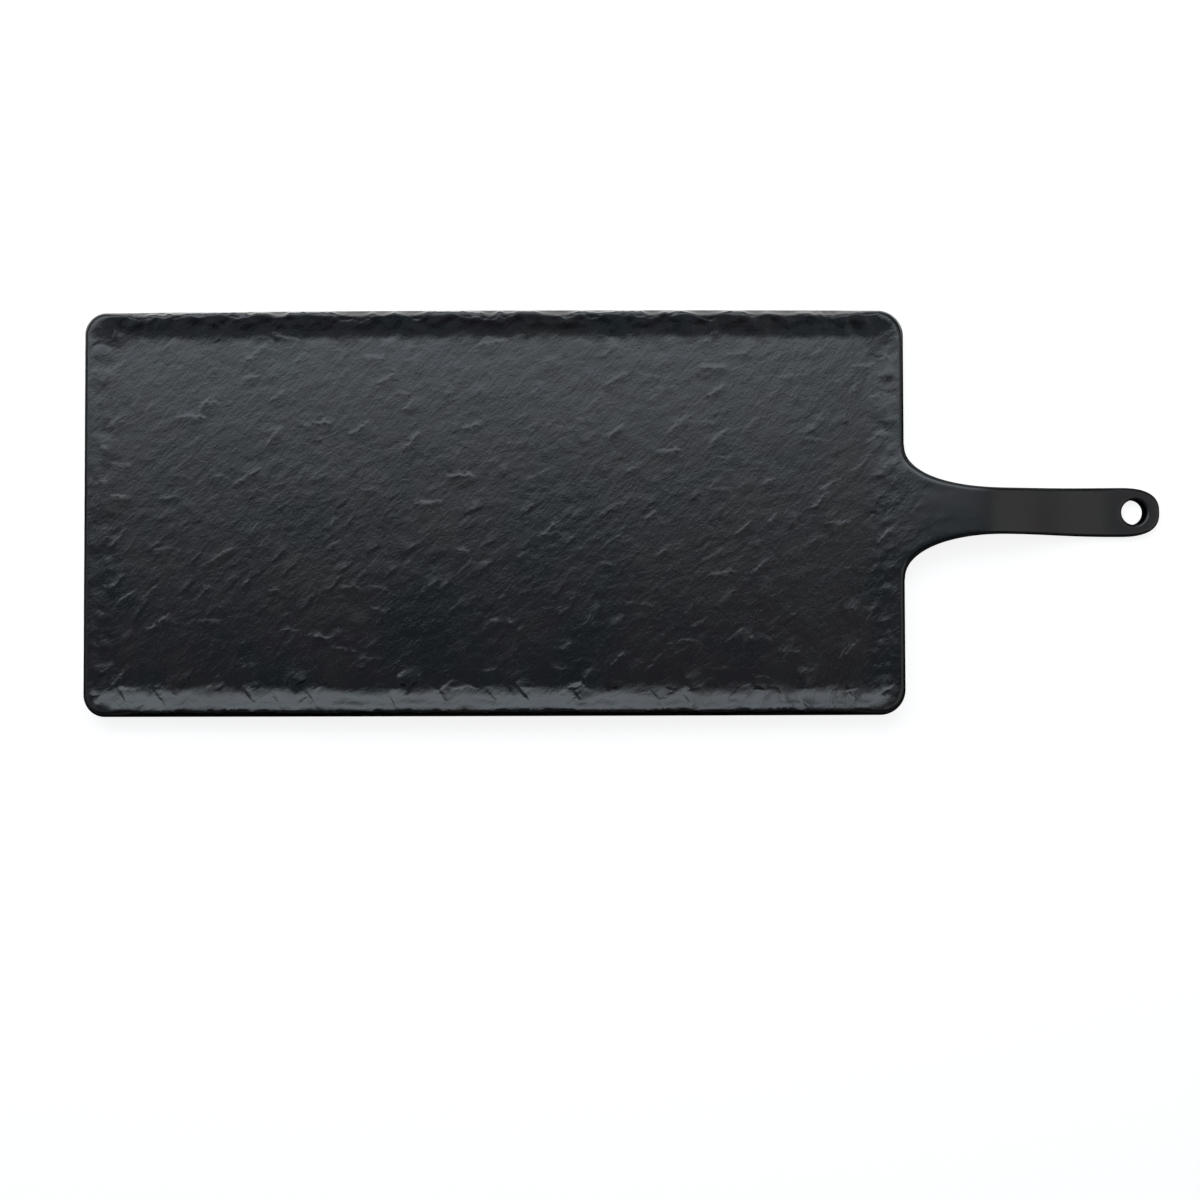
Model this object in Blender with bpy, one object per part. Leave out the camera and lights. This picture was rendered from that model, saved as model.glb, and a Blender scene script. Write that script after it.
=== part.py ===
"""Melamine serving tray: one moulding with a hewn rim and a wavy handle, on four push-in rubber feet.

Metres, +Z up. The table is z = 0 and the origin lies under the middle of the whole tray. +X points
along the handle and +Y to the back of the tray. A height "above the edge" counts from the lower
edge of the tray's two ends, and a distance "out" counts along +X from the end that has the handle.
"""
import math

import bmesh
import bpy

# Plan of the tray
BODY_LENGTH = 0.403
BODY_WIDTH = 0.199
FAR_CORNER_RADIUS = 0.0105
HANDLE_CORNER_RADIUS = 0.0125
WELL_CORNER_RADIUS = 0.012

# Section of the rim, the floor and the hollow underside
RIM_HEIGHT = 0.010
RIM_CHAMFER = 0.0022
CHAMFER_DROP = 0.0038
CREST_WIDTH = 0.0013
WELL_SLOPE = 0.012
WELL_DEPTH = 0.003
FLOOR_THICKNESS = 0.004
WALL_DRAFT = 0.0007
EDGE_ROUND = 0.0016
SKIRT_WIDTH = 0.0055
HOLLOW_DRAFT = 0.0015
BOW = 0.0046

# Handle, which grows out of one end of the tray
HANDLE_REACH = 0.127
NECK_WIDTH = 0.0675
NECK_LENGTH = 0.050
NECK_FULLNESS = 2.25
WAIST_WIDTH = 0.0225
GRIP_WIDTH = 0.0242
TIP_ROUND = 0.0195
TIP_FULLNESS = 2.6
TIP_LEVEL = 0.028
ARCH_OUT = 0.0385
ARCH_HEIGHT = 0.0145
ROOT_THICKNESS = 0.0076
ARCH_THICKNESS = 0.0062
TIP_THICKNESS = 0.0050
ROOT_DEPTH = 0.005
ROOT_RISE = 0.0005
NECK_EDGE = 0.003
HANDLE_EDGE = 0.0016
TIP_GAP = 0.0005

# Hanging hole
HOLE_DIAMETER = 0.0122
HOLE_FROM_TIP = 0.014
HOLE_EASE = 0.0006

# Rubber feet and the moulded bosses that hold them
FOOT_FROM_END = 0.042
FOOT_FROM_SIDE = 0.035
FOOT_HEIGHT = 0.005
FOOT_DIAMETER = 0.015
FOOT_TAPER = 0.001
FOOT_ROUND = 0.0008
STEM_DIAMETER = 0.006
STEM_LENGTH = 0.0036
STEM_CHAMFER = 0.0005
BOSS_WALL = 0.0035
BOSS_DRAFT = 0.0006
BOSS_RECESS = 0.0009
CLEARANCE = 0.0003

# How finely round shapes are divided
CORNER_STEPS = 6
EDGE_STEPS = 3
SLOPE_STEPS = 6
BOW_SECTIONS = 18
NECK_STEPS = 10
GRIP_STEPS = 9
TIP_STEPS = 9
TURNED_STEPS = 32
TIP_LAST_ANGLE = math.radians(88)
LARGEST_EDGE = 0.9
SHARP_ANGLE = math.radians(35)
SAME_POINT = 1e-6

# Places that follow from the sizes
BODY_MIDDLE_X = -HANDLE_REACH / 2
HALF_LENGTH = BODY_LENGTH / 2
BOSS_FACE = FOOT_HEIGHT + CLEARANCE
EDGE_LIFT = BOSS_FACE - BOSS_RECESS
FLOOR_TOP = RIM_HEIGHT - WELL_DEPTH
FLOOR_UNDER = FLOOR_TOP - FLOOR_THICKNESS
WELL_INSET = RIM_CHAMFER + CREST_WIDTH + WELL_SLOPE


def ease(share):
    """Soft start and stop between 0 and 1."""
    return (1 - math.cos(math.pi * min(max(share, 0), 1))) / 2


def bow(x):
    """Rise of the tray at a distance from its middle: the ends lie lower than the middle."""
    return BOW * (1 - (x / HALF_LENGTH) ** 2)


def melamine_and_rubber():
    """The two materials of the tray, from their colour in the photograph."""
    made = {}
    for name, colour, roughness in (
        ("black_melamine", (0.030, 0.033, 0.036, 1), 0.48),
        ("black_rubber", (0.012, 0.012, 0.013, 1), 0.85),
    ):
        material = bpy.data.materials.new(name)
        material.use_nodes = True
        shader = material.node_tree.nodes["Principled BSDF"]
        shader.inputs["Base Color"].default_value = colour
        shader.inputs["Roughness"].default_value = roughness
        shader.inputs["Metallic"].default_value = 0
        made[name] = material
    return made


def add_object(name, mesh_data, material, parent, location=(0, 0, 0)):
    """Put a mesh into the scene as one named piece."""
    piece = bpy.data.objects.new(name, mesh_data)
    bpy.context.collection.objects.link(piece)
    piece.parent = parent
    piece.location = location
    if not mesh_data.materials:
        mesh_data.materials.append(material)
    return piece


def finish_mesh(bm, name):
    """Turn the faces outwards, shade them smooth between real edges and make a mesh."""
    bmesh.ops.recalc_face_normals(bm, faces=bm.faces)
    mesh_data = bpy.data.meshes.new(name)
    bm.to_mesh(mesh_data)
    bm.free()
    mesh_data.shade_smooth()
    mesh_data.set_sharp_from_angle(angle=SHARP_ANGLE)
    return mesh_data


def loft(bm, sections):
    """Skin a row of closed sections with equal numbers of points, and close both ends."""
    loops = [[bm.verts.new(point) for point in points] for points in sections]
    for loop, next_loop in zip(loops, loops[1:]):
        for i in range(len(loop)):
            bm.faces.new((loop[i - 1], loop[i], next_loop[i], next_loop[i - 1]))
    bm.faces.new(loops[0])
    bm.faces.new(loops[-1])


def rounded_rectangle(half_x, half_y, radius_low, radius_high, steps):
    """Points round a rectangle whose corners have one radius at low x and another at high x."""
    points = []
    for sign_x, sign_y, first, radius in (
        (1, 1, 0, radius_high),
        (-1, 1, 90, radius_low),
        (-1, -1, 180, radius_low),
        (1, -1, 270, radius_high),
    ):
        for i in range(steps + 1):
            angle = math.radians(first + 90 * i / steps)
            x = sign_x * (half_x - radius) + radius * math.cos(angle)
            y = sign_y * (half_y - radius) + radius * math.sin(angle)
            points.append((x, y))
    return points


def rim_profile():
    """Half section from the hollow underside, round the rim, to the floor: (inset, height above the edge)."""
    skirt_inner = WALL_DRAFT + SKIRT_WIDTH
    profile = [(skirt_inner + HOLLOW_DRAFT, FLOOR_UNDER), (skirt_inner, 0)]
    for i in range(EDGE_STEPS + 1):
        angle = math.pi / 2 * i / EDGE_STEPS
        inset = WALL_DRAFT + EDGE_ROUND * (1 - math.sin(angle))
        profile.append((inset, EDGE_ROUND * (1 - math.cos(angle))))
    for i in range(EDGE_STEPS + 1):
        angle = math.pi / 2 * i / EDGE_STEPS
        height = RIM_HEIGHT - CHAMFER_DROP * (1 - math.sin(angle))
        profile.append((RIM_CHAMFER * (1 - math.cos(angle)), height))
    crest = RIM_CHAMFER + CREST_WIDTH
    for i in range(SLOPE_STEPS + 1):
        share = i / SLOPE_STEPS
        profile.append((crest + WELL_SLOPE * share, RIM_HEIGHT - WELL_DEPTH * ease(share)))
    return profile


def tray_body():
    """The tray without its handle: rim, floor and hollow underside lofted from rings, then bowed."""
    rings = []
    for inset, height in rim_profile():
        share = inset / WELL_INSET
        radius_low = FAR_CORNER_RADIUS + (WELL_CORNER_RADIUS - FAR_CORNER_RADIUS) * share
        radius_high = HANDLE_CORNER_RADIUS + (WELL_CORNER_RADIUS - HANDLE_CORNER_RADIUS) * share
        ring = rounded_rectangle(
            HALF_LENGTH - inset, BODY_WIDTH / 2 - inset, radius_low, radius_high, CORNER_STEPS
        )
        rings.append([(x, y, height) for x, y in ring])
    bm = bmesh.new()
    loft(bm, rings)
    straight_half = HALF_LENGTH - WELL_INSET - WELL_CORNER_RADIUS
    for i in range(BOW_SECTIONS + 1):
        x = straight_half * (2 * i / BOW_SECTIONS - 1)
        everything = bm.verts[:] + bm.edges[:] + bm.faces[:]
        bmesh.ops.bisect_plane(
            bm, geom=everything, dist=SAME_POINT, plane_co=(x, 0, 0), plane_no=(1, 0, 0)
        )
    for vert in bm.verts:
        vert.co.z += EDGE_LIFT + bow(vert.co.x)
    return finish_mesh(bm, "tray_moulding")


def handle_half_width(out):
    """Half the width of the handle, flared into the tray's end, before its tip is rounded."""
    grip_share = (out - NECK_LENGTH) / (HANDLE_REACH - TIP_ROUND - NECK_LENGTH)
    width = WAIST_WIDTH + (GRIP_WIDTH - WAIST_WIDTH) * ease(grip_share)
    left = min(max(1 - out / NECK_LENGTH, 0), 1)
    flare = 1 - (1 - left**NECK_FULLNESS) ** (1 / NECK_FULLNESS)
    return (width + (NECK_WIDTH - WAIST_WIDTH) * flare) / 2


def handle_middle(out):
    """Height of the handle's middle: up from the rim's crest over the arch and down to the level tip."""
    root = EDGE_LIFT + RIM_HEIGHT + ROOT_RISE - ROOT_THICKNESS / 2
    arch = EDGE_LIFT + ARCH_HEIGHT
    tip = TIP_GAP + TIP_THICKNESS / 2
    if out < ARCH_OUT:
        turn = math.pi / 2 * (out + RIM_CHAMFER) / (ARCH_OUT + RIM_CHAMFER)
        return root + (arch - root) * math.sin(turn)
    return arch + (tip - arch) * ease((out - ARCH_OUT) / (HANDLE_REACH - TIP_LEVEL - ARCH_OUT))


def handle_thickness(out):
    """Thickness of the handle: stout at the root, thinner over the arch and thinnest at the tip."""
    if out < ARCH_OUT:
        share = max(out, 0) / ARCH_OUT
        return ROOT_THICKNESS + (ARCH_THICKNESS - ROOT_THICKNESS) * share
    share = min((out - ARCH_OUT) / (HANDLE_REACH - TIP_LEVEL - ARCH_OUT), 1)
    return ARCH_THICKNESS + (TIP_THICKNESS - ARCH_THICKNESS) * share


def handle_edge(out):
    """Rounding of the handle's long edges, which is larger where the neck runs into the rim."""
    return NECK_EDGE + (HANDLE_EDGE - NECK_EDGE) * min(max(out, 0) / NECK_LENGTH, 1)


def handle_stations():
    """Places along the handle with the share of its width and thickness that the round tip leaves."""
    stations = [(-ROOT_DEPTH, 1, 1), (-RIM_CHAMFER, 1, 1)]
    for i in range(NECK_STEPS + 1):
        angle = math.pi / 2 * i / NECK_STEPS
        stations.append((NECK_LENGTH * (1 - math.cos(angle) ** (2 / NECK_FULLNESS)), 1, 1))
    tip_start = HANDLE_REACH - TIP_ROUND
    for i in range(1, GRIP_STEPS + 1):
        stations.append((NECK_LENGTH + (tip_start - NECK_LENGTH) * i / GRIP_STEPS, 1, 1))
    for i in range(1, TIP_STEPS + 1):
        angle = TIP_LAST_ANGLE * i / TIP_STEPS
        out = tip_start + TIP_ROUND * math.sin(angle) ** (2 / TIP_FULLNESS)
        width_share = math.cos(angle) ** (2 / TIP_FULLNESS)
        into_edge = max(out - HANDLE_REACH + HANDLE_EDGE, 0) / HANDLE_EDGE
        edge_left = HANDLE_EDGE * (1 - math.sqrt(1 - min(into_edge, 1) ** 2))
        stations.append((out, width_share, 1 - 2 * edge_left / TIP_THICKNESS))
    return stations


def handle_blank():
    """The wavy handle as a loft of rounded sections, with its root inside the tray's end."""
    sections = []
    for out, width_share, thickness_share in handle_stations():
        half_width = handle_half_width(out) * width_share
        half_thickness = handle_thickness(out) * thickness_share / 2
        edge = min(handle_edge(out), LARGEST_EDGE * half_width, LARGEST_EDGE * half_thickness)
        section = rounded_rectangle(half_width, half_thickness, edge, edge, EDGE_STEPS)
        middle = handle_middle(out)
        sections.append([(HALF_LENGTH + out, y, middle + z) for y, z in section])
    bm = bmesh.new()
    loft(bm, sections)
    return finish_mesh(bm, "handle_blank")


def turned(name, profile):
    """Spin a profile of (radius, height) points, which starts and ends on the axis, about +Z."""
    bm = bmesh.new()
    verts = [bm.verts.new((radius, 0, height)) for radius, height in profile]
    edges = [bm.edges.new(pair) for pair in zip(verts, verts[1:])]
    bmesh.ops.spin(
        bm, geom=verts + edges, cent=(0, 0, 0), axis=(0, 0, 1), angle=math.tau,
        steps=TURNED_STEPS, use_merge=True,
    )
    bmesh.ops.remove_doubles(bm, verts=bm.verts, dist=SAME_POINT)
    return finish_mesh(bm, name)


def hole_profile():
    """Cutter for the hanging hole, flared where the rims of the hole are eased."""
    radius = HOLE_DIAMETER / 2
    low = TIP_GAP
    high = TIP_GAP + TIP_THICKNESS
    return [
        (0, low - HOLE_EASE),
        (radius + 2 * HOLE_EASE, low - HOLE_EASE),
        (radius, low + HOLE_EASE),
        (radius, high - HOLE_EASE),
        (radius + 2 * HOLE_EASE, high + HOLE_EASE),
        (0, high + HOLE_EASE),
    ]


def peg(name, low, high, low_radius, high_radius):
    """An upright round peg between two heights, for a boss or for the cutter of its socket."""
    bm = bmesh.new()
    bmesh.ops.create_cone(
        bm, cap_ends=True, segments=TURNED_STEPS, radius1=low_radius, radius2=high_radius, depth=high - low
    )
    bmesh.ops.translate(bm, verts=bm.verts, vec=(0, 0, (low + high) / 2))
    return finish_mesh(bm, name)


def boss(name, foot_x):
    """Moulded boss that holds one foot's stem, rooted in the floor at a distance from the middle."""
    root = EDGE_LIFT + bow(foot_x) + (FLOOR_UNDER + FLOOR_TOP) / 2
    radius = STEM_DIAMETER / 2 + CLEARANCE + BOSS_WALL
    return peg(name, BOSS_FACE, root, radius, radius + BOSS_DRAFT)


def socket(name):
    """Cutter for the blind hole of a boss, which opens at the boss's face."""
    radius = STEM_DIAMETER / 2 + CLEARANCE
    return peg(name, BOSS_FACE - CLEARANCE, BOSS_FACE + STEM_LENGTH + CLEARANCE, radius, radius)


def foot_profile():
    """Rubber foot: a pad that widens upwards with a rounded lower edge, and a stem on top."""
    top_radius = FOOT_DIAMETER / 2
    low_radius = top_radius - FOOT_TAPER
    stem_radius = STEM_DIAMETER / 2
    stem_top = BOSS_FACE + STEM_LENGTH
    profile = [(0, 0)]
    for i in range(EDGE_STEPS + 1):
        angle = math.pi / 2 * i / EDGE_STEPS
        radius = low_radius - FOOT_ROUND * (1 - math.sin(angle))
        profile.append((radius, FOOT_ROUND * (1 - math.cos(angle))))
    profile += [
        (top_radius, FOOT_HEIGHT),
        (stem_radius, FOOT_HEIGHT),
        (stem_radius, stem_top - STEM_CHAMFER),
        (stem_radius - STEM_CHAMFER, stem_top),
        (0, stem_top),
    ]
    return profile


def foot_places():
    """Name and place of each foot, counted from the middle of the tray's body."""
    foot_x = HALF_LENGTH - FOOT_FROM_END
    foot_y = BODY_WIDTH / 2 - FOOT_FROM_SIDE
    for side, sign_y in (("front", -1), ("back", 1)):
        for end, sign_x in (("left", -1), ("right", 1)):
            yield f"{side}_{end}", (sign_x * foot_x, sign_y * foot_y, 0)


def join(piece, tool, operation):
    """Add a tool body to a piece, or cut it out, and keep the tool as a wire guide."""
    tool.hide_render = True
    tool.display_type = "WIRE"
    step = piece.modifiers.new(f"{operation.lower()}_{tool.name}", "BOOLEAN")
    step.operation = operation
    step.solver = "EXACT"
    step.object = tool


def build():
    """Mould the tray with its handle, bosses and hole, and push in the feet."""
    for old in list(bpy.data.objects):
        bpy.data.objects.remove(old)
    materials = melamine_and_rubber()
    melamine = materials["black_melamine"]
    tray = bpy.data.objects.new("tray", None)
    bpy.context.collection.objects.link(tray)
    tray.location = (BODY_MIDDLE_X, 0, 0)

    moulding = add_object("tray_moulding", tray_body(), melamine, tray)
    handle = add_object("handle_blank", handle_blank(), melamine, tray)
    join(moulding, handle, "UNION")

    foot_mesh = turned("rubber_foot", foot_profile())
    for place, location in foot_places():
        boss_name = f"boss_{place}"
        join(moulding, add_object(boss_name, boss(boss_name, location[0]), melamine, tray, location), "UNION")
        socket_name = f"socket_{place}"
        join(moulding, add_object(socket_name, socket(socket_name), melamine, tray, location), "DIFFERENCE")
        add_object(f"foot_{place}", foot_mesh, materials["black_rubber"], tray, location)

    hole_x = HALF_LENGTH + HANDLE_REACH - HOLE_FROM_TIP
    hole = add_object(
        "hanging_hole", turned("hanging_hole", hole_profile()), melamine, tray, (hole_x, 0, 0)
    )
    join(moulding, hole, "DIFFERENCE")


build()
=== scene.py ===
import math
import random

import bmesh
import bpy
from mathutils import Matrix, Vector, kdtree, noise


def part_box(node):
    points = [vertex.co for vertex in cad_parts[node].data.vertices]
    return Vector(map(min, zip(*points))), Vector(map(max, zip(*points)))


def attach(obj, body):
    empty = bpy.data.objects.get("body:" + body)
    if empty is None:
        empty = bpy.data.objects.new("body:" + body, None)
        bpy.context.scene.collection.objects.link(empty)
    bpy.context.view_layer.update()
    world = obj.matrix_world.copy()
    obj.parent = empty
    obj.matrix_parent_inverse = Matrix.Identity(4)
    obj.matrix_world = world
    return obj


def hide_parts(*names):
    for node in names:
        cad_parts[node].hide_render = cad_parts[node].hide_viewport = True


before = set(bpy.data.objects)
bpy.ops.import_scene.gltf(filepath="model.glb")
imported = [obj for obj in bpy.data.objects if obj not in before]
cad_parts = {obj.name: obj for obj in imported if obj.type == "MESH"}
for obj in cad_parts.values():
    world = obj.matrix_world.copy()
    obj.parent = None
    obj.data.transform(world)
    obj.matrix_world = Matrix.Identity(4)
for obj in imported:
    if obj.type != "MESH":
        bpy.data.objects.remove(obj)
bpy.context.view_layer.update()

# Plan of the moulding
# The tray is one compression moulding in black melamine: a long shallow board that runs out into a
# flat wavy handle at one end. Its upper skin is laid out first, flat, as a grid that is close over
# the rim; x counts from the middle of the board and "out" from the end that has the handle.
moulding_low, moulding_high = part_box("tray_moulding")
HANDLE_REACH = 0.127
HALF_WIDTH = moulding_high.y
HALF_LENGTH = (moulding_high.x - HANDLE_REACH - moulding_low.x) / 2
MIDDLE_X = moulding_low.x + HALF_LENGTH
FAR_CORNER = 0.0105
HANDLE_CORNER = 0.0125
WELL_CORNER = 0.012
CORNER_ZONE = 0.036
CHAMFER_WIDTH = 0.0022
CREST_WIDTH = 0.0013
WELL_SLOPE = 0.012
WELL_INSET = CHAMFER_WIDTH + CREST_WIDTH + WELL_SLOPE
RIM_LINES = 24
RIM_STEP = 0.0004
FLOOR_STEP = 0.00175
SAME_POINT = 1e-6


def ease(share):
    """Soft start and stop between 0 and 1."""
    return (1 - math.cos(math.pi * min(max(share, 0), 1))) / 2


def rim_line(line):
    """Distance of a grid line on the rim from the edge: close there, wider towards the floor."""
    return RIM_STEP * line + (FLOOR_STEP - RIM_STEP) * line**2 / (2 * RIM_LINES)


def line_count(half):
    """Number of grid spaces across the board, an even number."""
    return 2 * RIM_LINES + 2 * round((half - rim_line(RIM_LINES)) / FLOOR_STEP)


def line_inset(share, count, half):
    """Distance from the nearest edge of the grid line at a share from -1 to 1 across the board."""
    line = round((share + 1) / 2 * count)
    line = min(line, count - line)
    if line <= RIM_LINES:
        return rim_line(line)
    floor_share = (line - RIM_LINES) / (count / 2 - RIM_LINES)
    return rim_line(RIM_LINES) + (half - rim_line(RIM_LINES)) * floor_share


def round_corner(from_end, from_side, outer_radius):
    """Bend the grid's square corner so that each of its rings turns on an arc."""
    inset = min(from_end, from_side)
    reach = max(from_end, from_side)
    if reach >= CORNER_ZONE:
        return from_end, from_side
    if inset < WELL_INSET:
        radius = outer_radius + (WELL_CORNER - outer_radius) * inset / WELL_INSET
    else:
        radius = WELL_CORNER * (CORNER_ZONE - inset) / (CORNER_ZONE - WELL_INSET)
    side = CORNER_ZONE - inset
    run = (reach - inset) * (1 - radius / side + math.pi / 4 * radius / side)
    if run < math.pi / 4 * radius:
        turn = math.pi / 4 + run / radius
        far = inset + radius - radius * math.cos(turn)
        near = inset + radius - radius * math.sin(turn)
    else:
        far = inset + radius + run - math.pi / 4 * radius
        near = inset
    return (far, near) if from_end > from_side else (near, far)


tray = bmesh.new()
columns = line_count(HALF_LENGTH)
rows = line_count(HALF_WIDTH)
bmesh.ops.create_grid(tray, x_segments=columns, y_segments=rows, size=1)
for name in ("ring_inset", "to_outline", "top_height", "low_height", "slate"):
    tray.verts.layers.float.new(name)
for name in ("plan", "outward"):
    tray.verts.layers.float_vector.new(name)
ring_inset, to_outline, top_height, low_height, slate = tray.verts.layers.float.values()
plan, outward = tray.verts.layers.float_vector.values()
for vert in tray.verts:
    from_end = line_inset(vert.co.x, columns, HALF_LENGTH)
    from_side = line_inset(vert.co.y, rows, HALF_WIDTH)
    vert[ring_inset] = min(from_end, from_side)
    corner = HANDLE_CORNER if vert.co.x > 0 else FAR_CORNER
    from_end, from_side = round_corner(from_end, from_side, corner)
    vert.co.x = math.copysign(HALF_LENGTH - from_end, vert.co.x)
    vert.co.y = math.copysign(HALF_WIDTH - from_side, vert.co.y)

# Flakes of the slate relief
# The upper skin copies split slate: thin flakes have come away and left short jagged ledges, most
# of them along a slanting grain, and cracks cross the slopes of the rim. The grid is made finer
# along each ledge, so that it stays crisp.
GRAIN_TURN = 45
GRAIN_TURNS = (GRAIN_TURN - 18, GRAIN_TURN + 8)
FLAKE_JITTER = 0.45
FLAKE_MARGIN = 0.0040
FLAKE_RISER = 0.00055
FLAKE_TAIL = 0.0032
FLAKE_WANDER = 0.0005
FLAKE_LEAST = 0.15
FLAKE_FULLNESS = 2
LINE_FULLNESS = 4
TAIL_END = 0.0118
KNOT_STEP = 0.0014
LEAST_KNOTS = 3
HOOK_FALL = 0.0011
HOOK_RISE = 0.0026
LEDGE_REACH = 0.0007
LEDGE_SAMPLE = 0.0005
LEDGE_CUTS = 2
SLOPE_LOW = 0.0040
SLOPE_MIDDLE = 0.0085
SLOPE_HIGH = 0.0130
NEAR_FLOOR = -0.025
FAR_FLOOR = 0.010
GOUGE_REACH = 0.006
FOOT_REACH = 0.004
NECK_FLAKES_OUT = 0.012
NECK_FLAKES_SIDE = 0.030
CHIP_ZONE = 0.0042
SHELL_ZONE = 0.0064
SHELL_STEP = 0.00045
slate_chance = random.Random(11)
flakes = []


def lay_flakes(
    low, high, spacing, turns, lengths, lift, tail=FLAKE_TAIL, wander=FLAKE_WANDER, hook=0,
    least=FLAKE_LEAST, riser=FLAKE_RISER, fullness=FLAKE_FULLNESS,
):
    """Spread flakes over a zone: each has a jagged ledge line, and a lift that is mostly small."""
    count_x = max(round((high[0] - low[0]) / spacing), 1)
    count_y = max(round((high[1] - low[1]) / spacing), 1)
    for column in range(count_x):
        for row in range(count_y):
            shift_x = column + 0.5 + slate_chance.uniform(-FLAKE_JITTER, FLAKE_JITTER)
            shift_y = row + 0.5 + slate_chance.uniform(-FLAKE_JITTER, FLAKE_JITTER)
            length = slate_chance.uniform(*lengths)
            knots = max(round(length / KNOT_STEP), LEAST_KNOTS)
            line = [slate_chance.uniform(-1, 1) * wander for knot in range(knots + 1)]
            if slate_chance.random() < hook:
                line[-3] -= HOOK_FALL / 2
                line[-2] -= HOOK_FALL
                line[-1] += HOOK_RISE
            flakes.append({
                "x": low[0] + (high[0] - low[0]) * shift_x / count_x,
                "y": low[1] + (high[1] - low[1]) * shift_y / count_y,
                "turn": math.radians(slate_chance.uniform(*turns)),
                "length": length,
                "lift": lift * (least + (1 - least) * slate_chance.random() ** 2),
                "tail": tail,
                "riser": riser,
                "fullness": fullness,
                "line": line,
            })


def ledge_wander(flake, along):
    """How far a ledge line lies to the side of its straight axis."""
    knots = len(flake["line"]) - 1
    place = min(max((along / flake["length"] + 0.5) * knots, 0), knots)
    knot = min(int(place), knots - 1)
    first, last = flake["line"][knot:knot + 2]
    return first + (last - first) * (place - knot)


def flake_lift(flake, x, y):
    """Height that a flake adds: full at its ledge, sharp behind it and fading in front of it."""
    across_x, across_y = -math.sin(flake["turn"]), math.cos(flake["turn"])
    from_x, from_y = x - flake["x"], y - flake["y"]
    along = from_x * across_y - from_y * across_x
    share = 2 * along / flake["length"]
    if abs(share) >= 1:
        return 0
    behind = from_x * across_x + from_y * across_y - ledge_wander(flake, along)
    lift = flake["lift"] * (1 - abs(share) ** flake["fullness"])
    if behind > 0:
        return lift * max(1 - behind / flake["riser"], 0)
    return lift * math.exp(behind / flake["tail"]) * max(1 - (behind / TAIL_END) ** 2, 0) ** 2


def tree_of(points):
    """Search tree over a list of points."""
    tree = kdtree.KDTree(len(points))
    for index, point in enumerate(points):
        tree.insert(point, index)
    tree.balance()
    return tree


well_x = HALF_LENGTH - SLOPE_MIDDLE
well_y = HALF_WIDTH - SLOPE_MIDDLE
floor_low, floor_high = (-well_x, -well_y), (well_x, well_y)
near_low, near_high = SLOPE_LOW - HALF_WIDTH, SLOPE_HIGH - HALF_WIDTH
end_low, end_high = HALF_LENGTH - SLOPE_HIGH, HALF_LENGTH - SLOPE_LOW
# Thin lines along the grain and level ones with hooked ends, all over the floor
lay_flakes(floor_low, floor_high, spacing=0.0200, turns=GRAIN_TURNS, lengths=(0.007, 0.016),
           lift=0.00023, fullness=LINE_FULLNESS)
lay_flakes(floor_low, floor_high, spacing=0.0260, turns=(-9, 12), lengths=(0.009, 0.017),
           lift=0.00024, hook=0.7, fullness=LINE_FULLNESS)
# Ledges that face the other way, longer and higher towards the near side
lay_flakes((-well_x, FAR_FLOOR), floor_high, spacing=0.0270, turns=(205, 235),
           lengths=(0.003, 0.006), lift=0.00018)
lay_flakes((-well_x, NEAR_FLOOR), (well_x, FAR_FLOOR), spacing=0.0220, turns=(210, 238),
           lengths=(0.007, 0.013), lift=0.00028, tail=0.0022)
lay_flakes(floor_low, (well_x, NEAR_FLOOR), spacing=0.0170, turns=(214, 238),
           lengths=(0.009, 0.016), lift=0.00046, tail=0.0022)
# Cracks across the near slope, then gouges and ledges along its foot
lay_flakes((-well_x, near_low), (well_x, near_high), spacing=0.0260, turns=(112, 132),
           lengths=(0.009, 0.014), lift=0.00072, tail=0.008, wander=0.00012, least=0.4)
lay_flakes((-well_x, near_high), (well_x, near_high + GOUGE_REACH), spacing=0.0560,
           turns=(115, 140), lengths=(0.009, 0.013), lift=0.00060, tail=0.020, wander=0.0004,
           least=0.5, riser=0.0015)
lay_flakes((-well_x, near_high), (well_x, near_high + FOOT_REACH), spacing=0.0200,
           turns=(170, 215), lengths=(0.004, 0.009), lift=0.00058, tail=0.0050)
# Cracks across the far slope, ledges on the end slopes and their near corners, and the neck's own
lay_flakes((-well_x, -near_high), (well_x, -near_low), spacing=0.0200, turns=(70, 110),
           lengths=(0.004, 0.009), lift=0.00034, tail=0.004, wander=0.0002)
for low, high in ((-end_high, -end_low), (end_low, end_high)):
    lay_flakes((low, -well_y), (high, well_y), spacing=0.0150, turns=(-15, 40),
               lengths=(0.005, 0.010), lift=0.00014, hook=0.3)
    lay_flakes((low, -well_y), (high, well_y), spacing=0.0200, turns=(165, 215),
               lengths=(0.005, 0.010), lift=0.00018)
    lay_flakes((low, -well_y), (high, CORNER_ZONE - well_y), spacing=0.0090, turns=(165, 215),
               lengths=(0.005, 0.010), lift=0.00045)
lay_flakes((end_low, -NECK_FLAKES_SIDE), (HALF_LENGTH + NECK_FLAKES_OUT, NECK_FLAKES_SIDE),
           spacing=0.0130, turns=(42, 66), lengths=(0.008, 0.014), lift=0.00026)
ledge_points = []
for flake in flakes:
    count = int(flake["length"] / LEDGE_SAMPLE)
    for step in range(count + 1):
        along = flake["length"] * (step / count - 0.5)
        across = ledge_wander(flake, along) + flake["riser"] / 2
        x = flake["x"] + along * math.cos(flake["turn"]) - across * math.sin(flake["turn"])
        y = flake["y"] + along * math.sin(flake["turn"]) + across * math.cos(flake["turn"])
        ledge_points.append((x, y, 0))
ledge_tree = tree_of(ledge_points)
flake_tree = tree_of([(flake["x"], flake["y"], 0) for flake in flakes])
fine_edges = {}
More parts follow.
